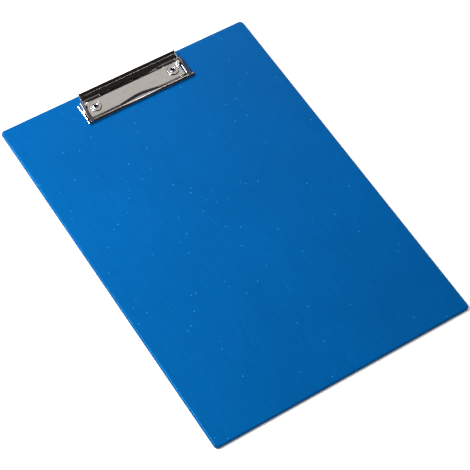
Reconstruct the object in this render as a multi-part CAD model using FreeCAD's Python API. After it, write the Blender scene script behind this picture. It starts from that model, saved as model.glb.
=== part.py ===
"""A4 clipboard: a foil-covered board with a low sprung clip riveted to its top end.

Millimetres. +X across the board, +Y towards the clip, +Z up.
The origin is the middle of the board's underside.
"""
import FreeCAD, Part
import math
import os

Vector = FreeCAD.Vector

# Board
BOARD_WIDTH = 226.0
BOARD_LENGTH = 319.0
BOARD_THICKNESS = 3.0
BOARD_CORNER = 3.5
FACE_EDGE = 1.3
BACK_EDGE = 0.5
FOIL = 0.35
SEAM_HEIGHT = 0.24
SEAM_DEPTH = 0.12

# Clip. A setback is a distance from the board's top end, and a height is above the board's face.
STEEL = 0.7
PIVOT_SETBACK = 12.8
PIVOT_HEIGHT = 2.6

# Base plate
PLATE = 0.8
PLATE_HALF_WIDTH = 43.4
PLATE_REAR = 4.2
PLATE_FRONT = 26.0
PLATE_CORNER = 1.6
PLATE_LIP = 1.7
EAR_REAR = 10.0
EAR_FRONT = 15.8
EAR_TOP = 4.5

# Clamp frame
ARM_INNER = 44.0
ARM_OUTER = 49.0
ARM_REAR = 10.6
ARM_FRONT = 29.3
ARM_SHAPE_REAR = (1.35, 5.35, 46.4)
ARM_SHAPE_FRONT = (0.75, 2.95, 46.7)
LEVER_HALF_WIDTH = 44.0
LEVER_FOOT = (9.0, 3.15)
LEVER_CREASE = (6.2, 5.55)
LEVER_TOP = (4.1, 7.65)
BEAD_RADIUS = 0.30
JAW_HALF_WIDTH = 48.7
JAW_REAR = (25.0, 1.6)
JAW_REAR_MIDDLE = (23.0, 1.9)
JAW_ARCH_HALF = 21.0
JAW_GAP = 0.05

# Pins, rivets and spring
PIN_RADIUS = 1.0
PIN_CLEARANCE = 0.05
PIN_HEAD_RADIUS = 1.55
PIN_HEAD = 0.5
RIVET_X = 36.0
RIVET_SETBACK = 16.7
RIVET_BORE = 1.4
RIVET_SHANK = 2.0
RIVET_FLANGE = 5.1
RIVET_WEB = (1.5, 2.1)
WASHER_RADIUS = 4.4
WASHER_THICKNESS = 0.5
WASHER_TOP = 0.95
SPRING_STRIP = 0.4
SPRING_HALF_WIDTH = 27.0


def place(x, setback, height):
    """A point of the clip from its setback behind the board's top end and its height above the face."""
    return Vector(x, BOARD_LENGTH / 2 - setback, BOARD_THICKNESS + height)


# ---------------------------------------------------------------- bent sheet profiles

def unit(p, q):
    length = math.hypot(q[0] - p[0], q[1] - p[1])
    return ((q[0] - p[0]) / length, (q[1] - p[1]) / length)


def offset_path(points, distance):
    """The parallel of an open path, to its left where distance is positive."""
    directions = [unit(p, q) for p, q in zip(points, points[1:])]
    result = []
    for i, point in enumerate(points):
        before = directions[max(i - 1, 0)]
        after = directions[min(i, len(directions) - 1)]
        bisector = (-(before[1] + after[1]), before[0] + after[0])
        scale = distance / (1 + before[0] * after[0] + before[1] * after[1])
        result.append((point[0] + bisector[0] * scale, point[1] + bisector[1] * scale))
    return result


def rounded_path(points, radii):
    """Straight runs joined by tangent arcs: a list of point pairs and point triples."""
    pieces = []
    start = points[0]
    for before, corner, after, radius in zip(points, points[1:], points[2:], radii):
        back = unit(corner, before)
        ahead = unit(corner, after)
        half = math.acos(max(-1.0, min(1.0, back[0] * ahead[0] + back[1] * ahead[1]))) / 2
        reach = radius / math.tan(half)
        entry = (corner[0] + back[0] * reach, corner[1] + back[1] * reach)
        leave = (corner[0] + ahead[0] * reach, corner[1] + ahead[1] * reach)
        inward = unit(corner, ((entry[0] + leave[0]) / 2, (entry[1] + leave[1]) / 2))
        depth = radius / math.sin(half) - radius
        middle = (corner[0] + inward[0] * depth, corner[1] + inward[1] * depth)
        pieces.append((start, entry))
        pieces.append((entry, middle, leave))
        start = leave
    pieces.append((start, points[-1]))
    return pieces


def turns_left(before, corner, after):
    first = unit(before, corner)
    second = unit(corner, after)
    return first[0] * second[1] - first[1] * second[0] > 0


def sheet_profile(points, radii, thickness):
    """Closed outline of a bent sheet. points run along one face and the sheet lies to their left.

    radii are those of that face, and each bend's other face is concentric with it.
    """
    corners = list(zip(points, points[1:], points[2:]))
    other_radii = [r - thickness if turns_left(*c) else r + thickness for r, c in zip(radii, corners)]
    face = rounded_path(points, radii)
    other = rounded_path(offset_path(points, thickness)[::-1], other_radii[::-1])
    closing = (face[-1][-1], other[0][0])
    opening = (other[-1][-1], face[0][0])
    return face + [closing] + other + [opening]


def wire(pieces, to_space):
    edges = []
    for piece in pieces:
        ends = [to_space(*p) for p in piece]
        if len(ends) == 2:
            edges.append(Part.LineSegment(*ends).toShape())
        else:
            edges.append(Part.Arc(*ends).toShape())
    return Part.Wire(edges)


def bar(pieces, x_from, x_to):
    """A profile of (setback, height) points swept straight across the board."""
    outline = wire(pieces, lambda setback, height: place(x_from, setback, height))
    return Part.Face(outline).extrude(Vector(x_to - x_from, 0, 0))


def mirrored(shape):
    return shape.mirror(Vector(0, 0, 0), Vector(1, 0, 0))


def upright_cylinder(radius, z_from, z_to, x, y):
    return Part.makeCylinder(radius, z_to - z_from, Vector(x, y, z_from))


# ---------------------------------------------------------------- board

def rounded_slab(inset):
    """The board's outline and edge roundings, made smaller all round by inset."""
    width = BOARD_WIDTH - 2 * inset
    length = BOARD_LENGTH - 2 * inset
    thickness = BOARD_THICKNESS - 2 * inset
    slab = Part.makeBox(width, length, thickness, Vector(-width / 2, -length / 2, inset))
    upright = [e for e in slab.Edges if abs(e.Vertexes[0].Z - e.Vertexes[1].Z) > thickness / 2]
    slab = slab.makeFillet(BOARD_CORNER - inset, upright)
    face_rim = [e for e in slab.Edges if e.BoundBox.ZMin > inset + thickness - 0.01]
    slab = slab.makeFillet(FACE_EDGE - inset, face_rim)
    back_rim = [e for e in slab.Edges if e.BoundBox.ZMax < inset + 0.01]
    return slab.makeFillet(BACK_EDGE - inset, back_rim)


def rivet_places():
    y = BOARD_LENGTH / 2 - RIVET_SETBACK
    return {"left": (-RIVET_X, y), "right": (RIVET_X, y)}


def rivet_holes():
    """Shank holes through the board, and the sinkings in its back for the washers."""
    holes = []
    for x, y in rivet_places().values():
        holes.append(upright_cylinder(RIVET_SHANK, -1, BOARD_THICKNESS + 1, x, y))
        holes.append(upright_cylinder(WASHER_RADIUS, -1, WASHER_TOP, x, y))
    return Part.makeCompound(holes)


def seam_groove():
    """The shallow groove round the edge where the two foils are welded together."""
    low = (BOARD_THICKNESS - SEAM_HEIGHT) / 2
    around = Part.makeBox(BOARD_WIDTH + 2, BOARD_LENGTH + 2, SEAM_HEIGHT,
                          Vector(-BOARD_WIDTH / 2 - 1, -BOARD_LENGTH / 2 - 1, low))
    return around.cut(rounded_slab(SEAM_DEPTH))


def board_pieces():
    core = rounded_slab(FOIL)
    skin = rounded_slab(0).cut(core).cut(seam_groove()).cut(rivet_holes())
    half = Part.makeBox(BOARD_WIDTH + 2, BOARD_LENGTH + 2, BOARD_THICKNESS,
                        Vector(-BOARD_WIDTH / 2 - 1, -BOARD_LENGTH / 2 - 1, BOARD_THICKNESS / 2))
    return {
        "core_board": core.cut(rivet_holes()),
        "front_cover": skin.common(half),
        "back_cover": skin.cut(half),
    }


# ---------------------------------------------------------------- base plate

def plate_ear():
    """The right-hand ear, a tab bent up from the plate's end, with its pin hole."""
    inner = PLATE_HALF_WIDTH - PLATE
    tab = Part.makeBox(PLATE, EAR_FRONT - EAR_REAR, EAR_TOP, place(inner, EAR_FRONT, 0))
    top = [e for e in tab.Edges
           if e.BoundBox.ZLength < 0.01 and e.BoundBox.YLength < 0.01
           and e.BoundBox.ZMax > BOARD_THICKNESS + PLATE]
    tab = tab.makeFillet(1.4, top)
    hole = Part.makeCylinder(PIN_RADIUS, 4, place(inner - 2, PIVOT_SETBACK, PIVOT_HEIGHT), Vector(1, 0, 0))
    return tab.cut(hole)


def base_plate():
    width = 2 * PLATE_HALF_WIDTH
    plate = Part.makeBox(width, PLATE_FRONT - PLATE_REAR, PLATE, place(-PLATE_HALF_WIDTH, PLATE_FRONT, 0))
    upright = [e for e in plate.Edges if e.BoundBox.ZLength > PLATE / 2]
    plate = plate.makeFillet(PLATE_CORNER, upright)
    lip_half = SPRING_HALF_WIDTH + 4
    lip = Part.makeBox(2 * lip_half, PLATE, PLATE_LIP, place(-lip_half, PLATE_REAR + PLATE, 0))
    lip = lip.makeFillet(0.3, [e for e in lip.Edges if e.BoundBox.ZMin > BOARD_THICKNESS + PLATE_LIP - 0.1])
    plate = plate.fuse([lip, plate_ear(), mirrored(plate_ear())]).removeSplitter()
    for x, y in rivet_places().values():
        plate = plate.cut(upright_cylinder(RIVET_SHANK, 0, BOARD_THICKNESS + 2, x, y))
    return plate


# ---------------------------------------------------------------- clamp frame

def arm_profile(foot_height, ridge_height, ridge_outer):
    """An arm's section: a rounded ridge between an upright inner wall and a sloping skirt."""
    outer_face = [
        (ARM_OUTER, foot_height),
        (48.35, foot_height + 0.25),
        (48.05, foot_height + 0.6),
        (ridge_outer + 0.35, ridge_height - 0.85),
        (ridge_outer - 0.1, ridge_height - 0.2),
        (ridge_outer - 0.75, ridge_height),
        (ARM_INNER + 0.75, ridge_height),
        (ARM_INNER + 0.2, ridge_height - 0.2),
        (ARM_INNER, ridge_height - 0.75),
        (ARM_INNER, foot_height - 0.25),
    ]
    return outer_face + offset_path(outer_face, STEEL)[::-1]


def arm():
    """The right-hand arm, a hollow ridge that gets lower towards the jaw."""
    sections = []
    for setback, shape in ((ARM_REAR, ARM_SHAPE_REAR), (ARM_FRONT, ARM_SHAPE_FRONT)):
        corners = [place(x, setback, height) for x, height in arm_profile(*shape)]
        sections.append(Part.makePolygon(corners + corners[:1]))
    return Part.makeLoft(sections, True, True)


def cheek():
    """The upright wall that joins an arm to the end of the lever."""
    outline = [
        (ARM_REAR + 0.6, 1.25),
        (ARM_REAR + 0.6, 5.2),
        (7.4, 5.45),
        (5.6, 6.3),
        (4.3, 8.7),
        (3.7, 8.8),
        (3.1, 8.2),
        (3.5, 4.9),
        (5.0, 3.75),
    ]
    corners = [place(ARM_INNER, *p) for p in outline]
    return Part.Face(Part.makePolygon(corners + corners[:1])).extrude(Vector(STEEL, 0, 0))


def lever():
    """The finger lever, a slightly creased strip with a stiffening bead along its crease."""
    half = LEVER_HALF_WIDTH + 0.3
    points = [LEVER_FOOT, LEVER_CREASE, LEVER_TOP]
    strip = bar(sheet_profile(points, [1.5], STEEL), -half, half)
    centre = place(-half, LEVER_CREASE[0] - 0.1, LEVER_CREASE[1] - 0.12)
    return strip.fuse(Part.makeCylinder(BEAD_RADIUS, 2 * half, centre, Vector(1, 0, 0)))


def jaw_points(arch):
    """Outer face of the jaw's section. arch is 0 at the sides and 1 in the middle of the raised arch."""
    rear = [side + arch * (middle - side) for side, middle in zip(JAW_REAR, JAW_REAR_MIDDLE)]
    return [tuple(rear), (28.2, 3.05), (30.35, 1.35), (29.75, JAW_GAP)]


def jaw_profile(arch):
    points = jaw_points(arch)[::-1]
    return sheet_profile(points, [0.8, 1.0 + 2.6 * arch], STEEL)


def jaw():
    """The front bar: a folded lip, with a shallow arch along the middle of its rear edge."""
    sides = bar(jaw_profile(0), JAW_ARCH_HALF, JAW_HALF_WIDTH)
    steps = 8
    sections = []
    for i in range(steps + 1):
        share = 2 * i / steps - 1
        arch = math.cos(share * math.pi / 2) ** 2
        x = share * JAW_ARCH_HALF
        sections.append(wire(jaw_profile(arch), lambda setback, height, x=x: place(x, setback, height)))
    middle = Part.makeLoft(sections, True, False)
    return middle.fuse([sides, mirrored(sides)])


def pin_hole():
    radius = PIN_RADIUS + PIN_CLEARANCE
    start = place(-ARM_OUTER, PIVOT_SETBACK, PIVOT_HEIGHT)
    return Part.makeCylinder(radius, 2 * ARM_OUTER, start, Vector(1, 0, 0))


def clamp_frame():
    right = arm().fuse(cheek())
    frame = jaw().fuse([right, mirrored(right), lever()])
    reach = ARM_INNER + STEEL + 0.3
    walls = Part.makeBox(2 * reach, 8, 6, place(-reach, PIVOT_SETBACK + 4, 0))
    return frame.cut(pin_hole().common(walls))


# ---------------------------------------------------------------- pins, rivets and spring

def pivot_pin():
    """The right-hand pivot: a pin with a formed head inside the ear and another inside the arm."""
    ear_inner = PLATE_HALF_WIDTH - PLATE
    arm_outer = ARM_INNER + STEEL
    axis = Vector(1, 0, 0)
    shank_start = place(ear_inner, PIVOT_SETBACK, PIVOT_HEIGHT)
    inner_start = place(ear_inner - PIN_HEAD, PIVOT_SETBACK, PIVOT_HEIGHT)
    outer_start = place(arm_outer + 0.1, PIVOT_SETBACK, PIVOT_HEIGHT)
    shank = Part.makeCylinder(PIN_RADIUS, arm_outer + 0.1 - ear_inner, shank_start, axis)
    inner_head = Part.makeCone(1.0, PIN_HEAD_RADIUS, PIN_HEAD, inner_start, axis)
    outer_head = Part.makeCone(1.35, 1.05, PIN_HEAD, outer_start, axis)
    return shank.fuse([inner_head, outer_head])


def turned(points, x, y):
    """A solid of revolution about an upright axis, from (radius, z) points with arcs as triples."""
    edges = []
    for piece in points:
        ends = [Vector(x + radius, y, z) for radius, z in piece]
        shape = Part.LineSegment(*ends) if len(ends) == 2 else Part.Arc(*ends)
        edges.append(shape.toShape())
    return Part.Face(Part.Wire(edges)).revolve(Vector(x, y, 0), Vector(0, 0, 1), 360)


def rivet(x, y):
    """A flanged rivet: hollow from both ends with a web between, its lower end rolled over the washer."""
    seat = BOARD_THICKNESS + PLATE
    rim = seat + 0.35
    ring = seat + 0.85
    roll = WASHER_TOP - WASHER_THICKNESS
    web_low, web_top = RIVET_WEB
    profile = [
        ((RIVET_SHANK, seat), (RIVET_FLANGE, seat)),
        ((RIVET_FLANGE, seat), (RIVET_FLANGE, rim)),
        ((RIVET_FLANGE, rim), (4.85, seat + 0.68), (4.3, ring)),
        ((4.3, ring), (2.7, ring - 0.08)),
        ((2.7, ring - 0.08), (2.15, ring + 0.2), (1.6, ring - 0.1)),
        ((1.6, ring - 0.1), (RIVET_BORE, ring - 0.5)),
        ((RIVET_BORE, ring - 0.5), (RIVET_BORE, web_top)),
        ((RIVET_BORE, web_top), (0, web_top)),
        ((0, web_top), (0, web_low)),
        ((0, web_low), (RIVET_BORE, web_low)),
        ((RIVET_BORE, web_low), (RIVET_BORE, 0.3)),
        ((RIVET_BORE, 0.3), (1.9, 0.06), (3.1, 0.3)),
        ((3.1, 0.3), (3.1, roll)),
        ((3.1, roll), (RIVET_SHANK, roll)),
        ((RIVET_SHANK, roll), (RIVET_SHANK, seat)),
    ]
    return turned(profile, x, y)


def rivet_washer(x, y):
    low = WASHER_TOP - WASHER_THICKNESS
    disc = upright_cylinder(WASHER_RADIUS, low, WASHER_TOP, x, y)
    return disc.cut(upright_cylinder(RIVET_SHANK, 0, BOARD_THICKNESS, x, y))


def leaf_spring():
    """A strip folded back on itself, one leaf on the plate and the other under the lever."""
    points = [
        (5.3, PLATE + SPRING_STRIP + 0.02),
        (8.1, PLATE + SPRING_STRIP + 0.02),
        (5.15, 4.75),
    ]
    pieces = sheet_profile(points, [0.35], -SPRING_STRIP)
    return bar(pieces, -SPRING_HALF_WIDTH, SPRING_HALF_WIDTH)


# ---------------------------------------------------------------- all pieces

def all_pieces():
    pieces = board_pieces()
    pieces["base_plate"] = base_plate()
    pieces["clamp_frame"] = clamp_frame()
    pieces["leaf_spring"] = leaf_spring()
    pieces["pivot_pin_right"] = pivot_pin()
    pieces["pivot_pin_left"] = mirrored(pivot_pin())
    for side, (x, y) in rivet_places().items():
        pieces["rivet_" + side] = rivet(x, y)
        pieces["rivet_washer_" + side] = rivet_washer(x, y)
    return pieces


def export(pieces):
    os.makedirs("parts", exist_ok=True)
    for name, shape in pieces.items():
        solids = shape.Solids
        whole = solids[0] if len(solids) == 1 else Part.makeCompound(solids)
        whole.exportStep("parts/" + name + ".step")
        print(name, "solids", len(solids), "volume", round(whole.Volume, 2), "valid", whole.isValid())


export(all_pieces())
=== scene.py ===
import math

import bmesh
import bpy
from mathutils import Matrix, Vector


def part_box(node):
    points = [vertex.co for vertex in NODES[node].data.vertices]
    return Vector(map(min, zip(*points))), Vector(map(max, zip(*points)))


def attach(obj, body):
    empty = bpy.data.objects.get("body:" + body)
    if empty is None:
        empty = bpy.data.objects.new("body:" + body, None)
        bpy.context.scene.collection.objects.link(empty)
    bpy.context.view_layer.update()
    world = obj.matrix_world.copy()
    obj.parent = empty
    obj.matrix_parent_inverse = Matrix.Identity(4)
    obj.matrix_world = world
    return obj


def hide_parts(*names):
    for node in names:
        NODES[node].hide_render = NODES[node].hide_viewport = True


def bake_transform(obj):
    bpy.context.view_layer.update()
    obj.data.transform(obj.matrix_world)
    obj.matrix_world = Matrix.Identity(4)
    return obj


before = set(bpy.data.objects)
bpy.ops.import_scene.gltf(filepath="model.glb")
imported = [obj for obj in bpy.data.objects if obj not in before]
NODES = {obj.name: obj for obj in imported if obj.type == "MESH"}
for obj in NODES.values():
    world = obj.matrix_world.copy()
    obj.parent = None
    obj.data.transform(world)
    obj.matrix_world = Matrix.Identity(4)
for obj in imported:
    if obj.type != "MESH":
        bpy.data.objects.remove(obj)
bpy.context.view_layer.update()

MM = 0.001
IMAGE_PIXELS = 470
SENSOR_MM = 36.0

# Camera: turn, height and roll of the view, its distance, and the point of the floor that it looks at.
VIEW_AZIMUTH = -37.62
VIEW_ELEVATION = 57.64
VIEW_ROLL = 5.97
VIEW_DISTANCE = 1.3273
VIEW_TARGET = (-0.00397, -0.01395, 0.0)
VIEW_FOCAL_PIXELS = 1733.3

# Stage. The softboxes face the lit point, and the card's direction points from there to its middle.
LIT_POINT = (0.0, 0.10, 0.0)
CARD_DIRECTION = (0.313, 0.515, 0.798)
FLOOR_SIZE = 6.0
FLOOR_DROP = 0.1 * MM

BOARD_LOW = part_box("back_cover")[0]
BOARD_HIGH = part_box("front_cover")[1]

# Below this height the rivets carry painted shade, in the mouth of the bore and at the flange's rim, and
# over the fade above it the plating grows bright.
RIVET_SHADE_BELOW = BOARD_HIGH.z + 1.1 * MM
RIVET_SHADE_FADE = 0.12 * MM

# Leaf spring, in millimetres of setback from the board's top end and height above its face.
SPRING_PATH = ((5.3, 1.22), (8.1, 1.22), (5.15, 4.75))
SPRING_BEND = 0.35
SPRING_BEND_STEPS = 10
SPRING_STRIP = 0.4
SPRING_HALF = 27.0

# Roundings of the sheet metal's edges.
CLIP_EDGE = 0.10 * MM
PLATE_EDGE = 0.12 * MM
SPRING_EDGE = 0.07 * MM

# Angles between faces. Below the first they become one face. Above the sharp angles they are shaded apart,
# and the clip's edges are rounded. The spring's edges are rounded above its cut angle.
FLAT_ANGLE = math.radians(0.4)
CLIP_SHARP_ANGLE = math.radians(32)
SPRING_SHARP_ANGLE = math.radians(40)
SPRING_CUT_ANGLE = math.radians(60)

# Vertices of a CAD mesh that lie closer than this are one.
MERGE_DISTANCE = 0.002 * MM

# Foil: the dark and light of its grain, what flecks and painted glints add, and the tint of its shine.
FOIL_DARK = (0.0, 0.064, 0.238)
FOIL_LIGHT = (0.0, 0.096, 0.318)
FOIL_FLECK = (0.0, 0.022, 0.045)
FOIL_GLINT_PAINT = (0.03, 0.30, 0.46)
FOIL_TINT = (0.02, 0.50, 1.0)


# ---------------------------------------------------------------- node helpers

def new_material(name):
    material = bpy.data.materials.new(name)
    material.use_nodes = True
    tree = material.node_tree
    tree.nodes.clear()
    output = tree.nodes.new("ShaderNodeOutputMaterial")
    shader = tree.nodes.new("ShaderNodeBsdfPrincipled")
    tree.links.new(shader.outputs["BSDF"], output.inputs["Surface"])
    return material, tree, shader


def add_node(tree, kind, **inputs):
    node = tree.nodes.new(kind)
    for name, value in inputs.items():
        node.inputs[name.replace("_", " ")].default_value = value
    return node


def object_coordinates(tree, scale):
    coordinates = tree.nodes.new("ShaderNodeTexCoord")
    mapping = add_node(tree, "ShaderNodeMapping", Scale=scale)
    tree.links.new(coordinates.outputs["Object"], mapping.inputs["Vector"])
    return mapping.outputs["Vector"]


def noise(tree, vector, scale, detail=3.0, roughness=0.5):
    node = add_node(tree, "ShaderNodeTexNoise", Scale=scale, Detail=detail, Roughness=roughness)
    tree.links.new(vector, node.inputs["Vector"])
    return node.outputs["Fac"]


def ramp(tree, factor, stops):
    """Colours that follow a factor. stops is a list of (factor, colour)."""
    node = tree.nodes.new("ShaderNodeValToRGB")
    elements = node.color_ramp.elements
    while len(elements) < len(stops):
        elements.new(0.5)
    for element, (position, colour) in zip(elements, stops):
        element.position = position
        element.color = (*colour, 1.0)
    tree.links.new(factor, node.inputs["Fac"])
    return node.outputs["Color"]


def grey(value):
    return (value, value, value)


def mix_colour(tree, kind, first, second):
    node = tree.nodes.new("ShaderNodeMix")
    node.data_type = "RGBA"
    node.blend_type = kind
    node.inputs["Factor"].default_value = 1.0
    tree.links.new(first, node.inputs["A"])
    tree.links.new(second, node.inputs["B"])
    return node.outputs["Result"]


def add_bump(tree, shader, heights):
    """Chains bumps. heights is a list of (height socket, distance, strength)."""
    previous = None
    for height, distance, strength in heights:
        bump = add_node(tree, "ShaderNodeBump", Strength=strength, Distance=distance)
        tree.links.new(height, bump.inputs["Height"])
        if previous is not None:
            tree.links.new(previous, bump.inputs["Normal"])
        previous = bump.outputs["Normal"]
    tree.links.new(previous, shader.inputs["Normal"])


def third_component(tree, vector):
    parts = tree.nodes.new("ShaderNodeSeparateXYZ")
    tree.links.new(vector, parts.inputs["Vector"])
    return parts.outputs["Z"]


def flatness(tree):
    """How level the surface lies: 1 on the board's faces, less on its rounded edges and 0 on its sides."""
    geometry = tree.nodes.new("ShaderNodeNewGeometry")
    level = tree.nodes.new("ShaderNodeMath")
    level.operation = "ABSOLUTE"
    tree.links.new(third_component(tree, geometry.outputs["Normal"]), level.inputs[0])
    return level.outputs["Value"]


# ---------------------------------------------------------------- materials

def painted_glints(tree, vector, scale, size):
    """Painted glints: single bright spots painted into the foil's colour, one in most cells of a loose
    lattice.
    """
    cells = add_node(tree, "ShaderNodeTexVoronoi", Scale=scale)
    tree.links.new(vector, cells.inputs["Vector"])
    return ramp(tree, cells.outputs["Distance"], [(size * 0.5, FOIL_GLINT_PAINT), (size, grey(0.0))])


def foil_colour(tree, even, grain, level, painted_side_shade):
    """Blue with lengthwise grain, slow patches, lengthwise flecks, painted glints and painted shade on the
    sides.
    """
    stroke = object_coordinates(tree, (1.0, 0.04, 1.0))
    cloud = noise(tree, even, scale=14.0)
    fleck = noise(tree, stroke, scale=900.0, detail=2.0)
    base = ramp(tree, grain, [(0.25, FOIL_DARK), (0.78, FOIL_LIGHT)])
    patches = ramp(tree, cloud, [(0.30, grey(0.90)), (0.70, grey(1.0))])
    flecks = ramp(tree, fleck, [(0.66, grey(0.0)), (0.82, FOIL_FLECK)])
    # Painted glints: bright spots added to the foil's colour.
    glints = painted_glints(tree, even, scale=135.0, size=0.065)
    # Painted shade: the board's sides are darkened in the colour, by how steeply the surface stands.
    painted_side_darkening = ramp(tree, level, [(0.55, grey(painted_side_shade)), (0.98, grey(1.0))])
    tinted = mix_colour(tree, "MULTIPLY", base, patches)
    marked = mix_colour(tree, "ADD", tinted, flecks)
    bright = mix_colour(tree, "ADD", marked, glints)
    return mix_colour(tree, "MULTIPLY", bright, painted_side_darkening)


def foil_material(name, gloss, painted_side_shade):
    """Embossed plastic foil, shinier where it is stretched over an edge.

    This argument sets the painted shade of the board's sides: their brightness against 1 for its faces.
    """
    material, tree, shader = new_material(name)
    even = object_coordinates(tree, (1.0, 1.0, 1.0))
    along = object_coordinates(tree, (1.0, 0.05, 1.0))
    grain = noise(tree, along, scale=1500.0, detail=5.0, roughness=0.70)
    pebble = noise(tree, even, scale=2600.0, detail=2.0, roughness=0.6)
    level = flatness(tree)
    tree.links.new(foil_colour(tree, even, grain, level, painted_side_shade), shader.inputs["Base Color"])
    rough = ramp(tree, pebble, [(0.25, grey(0.34)), (0.75, grey(0.52))])
    bends = [(0.45, grey(1.0)), (0.65, grey(0.40)), (0.93, grey(0.40)), (0.998, grey(1.0))]
    stretched = ramp(tree, level, bends)
    tree.links.new(mix_colour(tree, "MULTIPLY", rough, stretched), shader.inputs["Roughness"])
    shader.inputs["IOR"].default_value = 1.5
    shader.inputs["Specular IOR Level"].default_value = gloss
    shader.inputs["Specular Tint"].default_value = (*FOIL_TINT, 1.0)
    add_bump(tree, shader, [(grain, 0.08 * MM, 0.40), (pebble, 0.04 * MM, 0.35)])
    return material


def core_material():
    """Pressed grey board, fibrous across its thickness."""
    material, tree, shader = new_material("core_board_fibre")
    layers = object_coordinates(tree, (1.0, 1.0, 9.0))
    fibre = noise(tree, layers, scale=900.0, detail=6.0, roughness=0.65)
    colour = ramp(tree, fibre, [(0.28, (0.20, 0.18, 0.155)), (0.70, (0.46, 0.42, 0.37))])
    tree.links.new(colour, shader.inputs["Base Color"])
    shader.inputs["Roughness"].default_value = 0.92
    add_bump(tree, shader, [(fibre, 0.2 * MM, 0.6)])
    return material


def plated_material(name, colour, roughness, haze, wave, wave_scale):
    """Bright plating over pressed steel: slow waves of the sheet, faint draw lines and a thin haze.

    wave is the depth of the waves and wave_scale how close they lie. haze is added roughness.
    """
    material, tree, shader = new_material(name)
    even = object_coordinates(tree, (1.0, 1.0, 1.0))
    drawn = object_coordinates(tree, (0.12, 1.0, 1.0))
    waves = noise(tree, even, scale=wave_scale, detail=2.0)
    lines = noise(tree, drawn, scale=2400.0, roughness=0.6)
    hazes = noise(tree, even, scale=260.0, roughness=0.55)
    darker = tuple(c * 0.93 for c in colour)
    tint = ramp(tree, hazes, [(0.35, darker), (0.65, colour)])
    tree.links.new(tint, shader.inputs["Base Color"])
    rough = ramp(tree, hazes, [(0.30, grey(roughness)), (0.75, grey(roughness + haze))])
    tree.links.new(rough, shader.inputs["Roughness"])
    shader.inputs["Metallic"].default_value = 1.0
    add_bump(tree, shader, [(waves, wave, 0.5), (lines, 0.001 * MM, 0.2)])
    return material


def rivet_material():
    """Bright plating, with painted shade at the flange's rim and in the mouth of the bore."""
    material, tree, shader = new_material("rivet_plating")
    even = object_coordinates(tree, (1.0, 1.0, 1.0))
    hazes = noise(tree, even, scale=420.0, roughness=0.55)
    level = add_node(tree, "ShaderNodeMapRange", From_Min=RIVET_SHADE_BELOW,
                     From_Max=RIVET_SHADE_BELOW + RIVET_SHADE_FADE)
    tree.links.new(third_component(tree, even), level.inputs["Value"])
    plating = ramp(tree, hazes, [(0.35, (0.74, 0.73, 0.73)), (0.65, (0.82, 0.81, 0.81))])
    # Painted shade: the bore's mouth and the flange's rim are darkened to a bluish near black.
    painted_bore_shade = ramp(tree, level.outputs["Result"], [(0.0, (0.05, 0.055, 0.085)), (1.0, grey(1.0))])
    tree.links.new(mix_colour(tree, "MULTIPLY", plating, painted_bore_shade), shader.inputs["Base Color"])
    rough = ramp(tree, hazes, [(0.30, grey(0.10)), (0.75, grey(0.17))])
    tree.links.new(rough, shader.inputs["Roughness"])
    shader.inputs["Metallic"].default_value = 1.0
    add_bump(tree, shader, [(hazes, 0.004 * MM, 0.5)])
    return material


def steel_material(name, colour, roughness):
    """Plain zinc plated or tempered steel with turned or rolled scratches."""
    material, tree, shader = new_material(name)
    drawn = object_coordinates(tree, (0.15, 1.0, 1.0))
    lines = noise(tree, drawn, scale=3200.0, detail=4.0, roughness=0.6)
    patches = noise(tree, drawn, scale=180.0)
    darker = tuple(c * 0.75 for c in colour)
    tint = ramp(tree, patches, [(0.30, darker), (0.70, colour)])
    tree.links.new(tint, shader.inputs["Base Color"])
    rough = ramp(tree, lines, [(0.30, grey(roughness)), (0.70, grey(roughness + 0.16))])
    tree.links.new(rough, shader.inputs["Roughness"])
    shader.inputs["Metallic"].default_value = 1.0
    add_bump(tree, shader, [(lines, 0.012 * MM, 0.4)])
    return material


FOIL_FRONT = foil_material("blue_foil_front", gloss=0.42, painted_side_shade=1.0)
# The back foil's sides carry painted shade at 0.24 of its faces' brightness.
FOIL_BACK = foil_material("blue_foil_back", gloss=0.06, painted_side_shade=0.24)
CORE = core_material()
PLATE_CHROME = plated_material("plate_plating", colour=(0.80, 0.775, 0.75), roughness=0.05, haze=0.04,
                               wave=0.004 * MM, wave_scale=60.0)
CLIP_CHROME = plated_material("clip_plating", colour=(0.84, 0.825, 0.81), roughness=0.05, haze=0.06,
                              wave=0.007 * MM, wave_scale=110.0)
RIVET_CHROME = rivet_material()
FIXING_STEEL = steel_material("fixing_zinc", colour=(0.62, 0.62, 0.63), roughness=0.28)
SPRING_STEEL = steel_material("spring_steel_strip", colour=(0.33, 0.34, 0.37), roughness=0.30)


def dress(item, material):
    item.data.materials.clear()
    item.data.materials.append(material)


def dress_nodes():
    dress(NODES["front_cover"], FOIL_FRONT)
    dress(NODES["back_cover"], FOIL_BACK)
    dress(NODES["core_board"], CORE)
    dress(NODES["base_plate"], PLATE_CHROME)
    dress(NODES["clamp_frame"], CLIP_CHROME)
    dress(NODES["leaf_spring"], SPRING_STEEL)
    for side in ("left", "right"):
        dress(NODES["rivet_" + side], RIVET_CHROME)
        dress(NODES["rivet_washer_" + side], FIXING_STEEL)
        dress(NODES["pivot_pin_" + side], FIXING_STEEL)


# ---------------------------------------------------------------- mesh helpers

def round_edges(form, edges, width):
    bmesh.ops.bevel(form, geom=edges, offset=width, offset_type="OFFSET", segments=2, profile=0.5,
                    affect="EDGES", clamp_overlap=True)


def finished_mesh(name, form, sharp_angle):
    """Turns a bmesh into a smooth shaded mesh whose steeper edges stay sharp."""
    mesh = bpy.data.meshes.new(name)
    form.to_mesh(mesh)
    form.free()
    mesh.polygons.foreach_set("use_smooth", [True] * len(mesh.polygons))
    mesh.set_sharp_from_angle(angle=sharp_angle)
    return mesh


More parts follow.
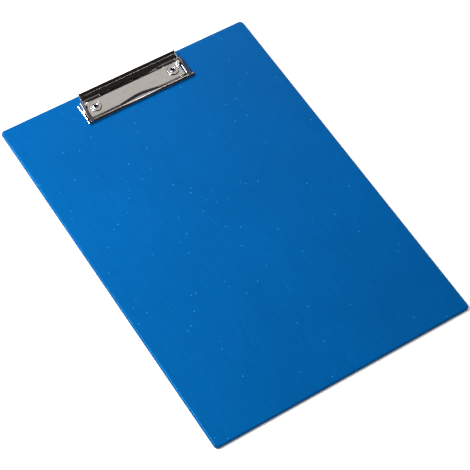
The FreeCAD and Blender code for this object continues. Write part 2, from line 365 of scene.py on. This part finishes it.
def with_normals_of(source, mesh):
    """The mesh with the exact normals of the CAD surface, so that bends and flats reflect without facets."""
    draft = bpy.data.objects.new("normals_draft", mesh)
    bpy.context.scene.collection.objects.link(draft)
    transfer = draft.modifiers.new("normals", "DATA_TRANSFER")
    transfer.object = source
    transfer.use_loop_data = True
    transfer.data_types_loops = {"CUSTOM_NORMAL"}
    transfer.loop_mapping = "POLYINTERP_LNORPROJ"
    depsgraph = bpy.context.evaluated_depsgraph_get()
    result = bpy.data.meshes.new_from_object(draft.evaluated_get(depsgraph))
    bpy.data.objects.remove(draft)
    bpy.data.meshes.remove(mesh)
    return result


def softened_copy(node, width):
    """A CAD part's mesh with flat faces made whole and every sharp edge rounded to width."""
    form = bmesh.new()
    form.from_mesh(NODES[node].data)
    bmesh.ops.remove_doubles(form, verts=form.verts, dist=MERGE_DISTANCE)
    bmesh.ops.dissolve_limit(form, angle_limit=FLAT_ANGLE, verts=form.verts, edges=form.edges)
    joined = [e for e in form.edges if len(e.link_faces) == 2]
    round_edges(form, [e for e in joined if e.calc_face_angle() > CLIP_SHARP_ANGLE], width)
    bmesh.ops.triangulate(form, faces=[f for f in form.faces if len(f.verts) > 4])
    bmesh.ops.recalc_face_normals(form, faces=form.faces)
    return with_normals_of(NODES[node], finished_mesh(node + "_softened", form, CLIP_SHARP_ANGLE))


# ---------------------------------------------------------------- leaf spring

def clip_place(setback, height):
    """Y and Z of a point of the clip."""
    return BOARD_HIGH.y - setback * MM, BOARD_HIGH.z + height * MM


def bend_points(start, corner, end, radius, steps):
    """A straight run, a tangent bend and another straight run: (point, outward direction) pairs."""
    back = Vector((start[0] - corner[0], start[1] - corner[1])).normalized()
    ahead = Vector((end[0] - corner[0], end[1] - corner[1])).normalized()
    half = back.angle(ahead) / 2
    centre = Vector(corner) + (back + ahead).normalized() * (radius / math.sin(half))
    entry = Vector(corner) + back * (radius / math.tan(half))
    first = entry - centre
    turn = math.pi - 2 * half
    arc = []
    for i in range(steps + 1):
        angle = turn * i / steps
        spoke = Vector((first.x * math.cos(angle) - first.y * math.sin(angle),
                        first.x * math.sin(angle) + first.y * math.cos(angle)))
        arc.append((centre + spoke, spoke.normalized()))
    bend_end, onward = arc[-1]
    rising = [(bend_end.lerp(Vector(end), i / steps), onward) for i in range(1, steps + 1)]
    return [(Vector(start), arc[0][1])] + arc + rising


def spring_mesh():
    """A steel strip folded back on itself, with rounded edges."""
    path = bend_points(*SPRING_PATH, SPRING_BEND, SPRING_BEND_STEPS)
    inner = [point for point, _ in path]
    outer = [point + normal * SPRING_STRIP for point, normal in path]
    form = bmesh.new()
    rings = []
    for x in (-SPRING_HALF, SPRING_HALF):
        rings.append([form.verts.new((x * MM, *clip_place(p.x, p.y))) for p in inner + outer[::-1]])
    first, last = rings
    count = len(first)
    for i in range(count):
        j = (i + 1) % count
        form.faces.new((first[i], first[j], last[j], last[i]))
    for ring in rings:
        for i in range(len(inner) - 1):
            form.faces.new((ring[i], ring[i + 1], ring[count - 2 - i], ring[count - 1 - i]))
    bmesh.ops.recalc_face_normals(form, faces=form.faces)
    round_edges(form, [e for e in form.edges if e.calc_face_angle() > SPRING_CUT_ANGLE], SPRING_EDGE)
    return finished_mesh("spring_strip", form, SPRING_SHARP_ANGLE)


# ---------------------------------------------------------------- new pieces

def add_piece(name, mesh, material, node):
    """A visual piece that stands for a CAD node."""
    item = bpy.data.objects.new(name, mesh)
    bpy.context.scene.collection.objects.link(item)
    dress(item, material)
    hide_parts(node)
    return item


def add_clip():
    clamp = add_piece("clip_clamp_frame", softened_copy("clamp_frame", CLIP_EDGE), CLIP_CHROME,
                      "clamp_frame")
    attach(clamp, "clamp")
    plate = add_piece("clip_base_plate", softened_copy("base_plate", PLATE_EDGE), PLATE_CHROME,
                      "base_plate")
    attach(plate, "board")
    spring = add_piece("clip_leaf_spring", spring_mesh(), SPRING_STEEL, "leaf_spring")
    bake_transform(spring)


# ---------------------------------------------------------------- floor, light and camera

def direction_from(azimuth, elevation):
    """Unit vector towards a place at this turn from -Y and height, in degrees."""
    turn = math.radians(azimuth)
    rise = math.radians(elevation)
    return Vector((math.sin(turn) * math.cos(rise), -math.cos(turn) * math.cos(rise), math.sin(rise)))


def add_floor():
    half = FLOOR_SIZE / 2
    level = BOARD_LOW.z - FLOOR_DROP
    corners = [(-half, -half, level), (half, -half, level), (half, half, level), (-half, half, level)]
    mesh = bpy.data.meshes.new("floor")
    mesh.from_pydata(corners, [], [(0, 1, 2, 3)])
    item = bpy.data.objects.new("floor", mesh)
    bpy.context.scene.collection.objects.link(item)
    material, _, shader = new_material("pale_floor")
    shader.inputs["Base Color"].default_value = (0.93, 0.93, 0.93, 1)
    shader.inputs["Roughness"].default_value = 0.9
    shader.inputs["Specular IOR Level"].default_value = 0.0
    shader.inputs["Emission Color"].default_value = (1, 1, 1, 1)
    shader.inputs["Emission Strength"].default_value = 0.4
    dress(item, material)


def add_softbox(name, azimuth, elevation, distance, width, height, power):
    """A rectangular light that faces the lit point from the given direction."""
    away = direction_from(azimuth, elevation)
    data = bpy.data.lights.new(name, "AREA")
    data.shape = "RECTANGLE"
    data.size = width
    data.size_y = height
    data.energy = power
    item = bpy.data.objects.new(name, data)
    item.location = Vector(LIT_POINT) + away * distance
    item.rotation_euler = away.to_track_quat("Z", "Y").to_euler()
    bpy.context.scene.collection.objects.link(item)


def add_lights():
    add_softbox("left_key", azimuth=-100, elevation=60, distance=0.75,
                width=0.28, height=0.28, power=7.4)
    add_softbox("left_rear_card", azimuth=-141, elevation=47, distance=1.3,
                width=0.30, height=0.16, power=11)
    add_softbox("overhead_strip", azimuth=80, elevation=70, distance=1.3,
                width=0.26, height=0.20, power=0.4)
    add_softbox("rear_right_card", azimuth=145, elevation=27, distance=1.2,
                width=0.30, height=0.14, power=1.6)


def add_world():
    """A dim room with one broad soft grey card, behind the clip to the right."""
    world = bpy.data.worlds.new("studio")
    world.use_nodes = True
    tree = world.node_tree
    tree.nodes.clear()
    output = tree.nodes.new("ShaderNodeOutputWorld")
    background = add_node(tree, "ShaderNodeBackground", Strength=1.0)
    coordinates = tree.nodes.new("ShaderNodeTexCoord")
    facing = tree.nodes.new("ShaderNodeVectorMath")
    facing.operation = "DOT_PRODUCT"
    facing.inputs[1].default_value = CARD_DIRECTION
    tree.links.new(coordinates.outputs["Generated"], facing.inputs[0])
    # Stops are the cosine of the angle from the card's middle.
    room = [
        (0.00, (0.012, 0.010, 0.009)),
        (0.55, (0.035, 0.028, 0.023)),
        (0.955, (0.030, 0.028, 0.036)),
        (0.985, (0.56, 0.53, 0.51)),
        (1.00, (0.58, 0.55, 0.53)),
    ]
    colour = ramp(tree, facing.outputs["Value"], room)
    tree.links.new(colour, background.inputs["Color"])
    tree.links.new(background.outputs["Background"], output.inputs["Surface"])
    bpy.context.scene.world = world


def add_camera():
    back = direction_from(VIEW_AZIMUTH, VIEW_ELEVATION)
    roll = math.radians(VIEW_ROLL)
    right = (-back).cross(Vector((0, 0, 1))).normalized()
    up = right.cross(-back)
    rolled_right = right * math.cos(roll) + up * math.sin(roll)
    rolled_up = up * math.cos(roll) - right * math.sin(roll)
    data = bpy.data.cameras.new("camera")
    data.sensor_width = SENSOR_MM
    data.lens = VIEW_FOCAL_PIXELS * SENSOR_MM / IMAGE_PIXELS
    data.clip_start = 0.01
    data.clip_end = 50.0
    item = bpy.data.objects.new("camera", data)
    axes = Matrix((rolled_right, rolled_up, back)).transposed().to_4x4()
    item.matrix_world = Matrix.Translation(Vector(VIEW_TARGET) + back * VIEW_DISTANCE) @ axes
    bpy.context.scene.collection.objects.link(item)
    bpy.context.scene.camera = item


dress_nodes()
add_clip()
add_floor()
add_world()
add_lights()
add_camera()
bpy.context.scene.view_settings.view_transform = "Standard"
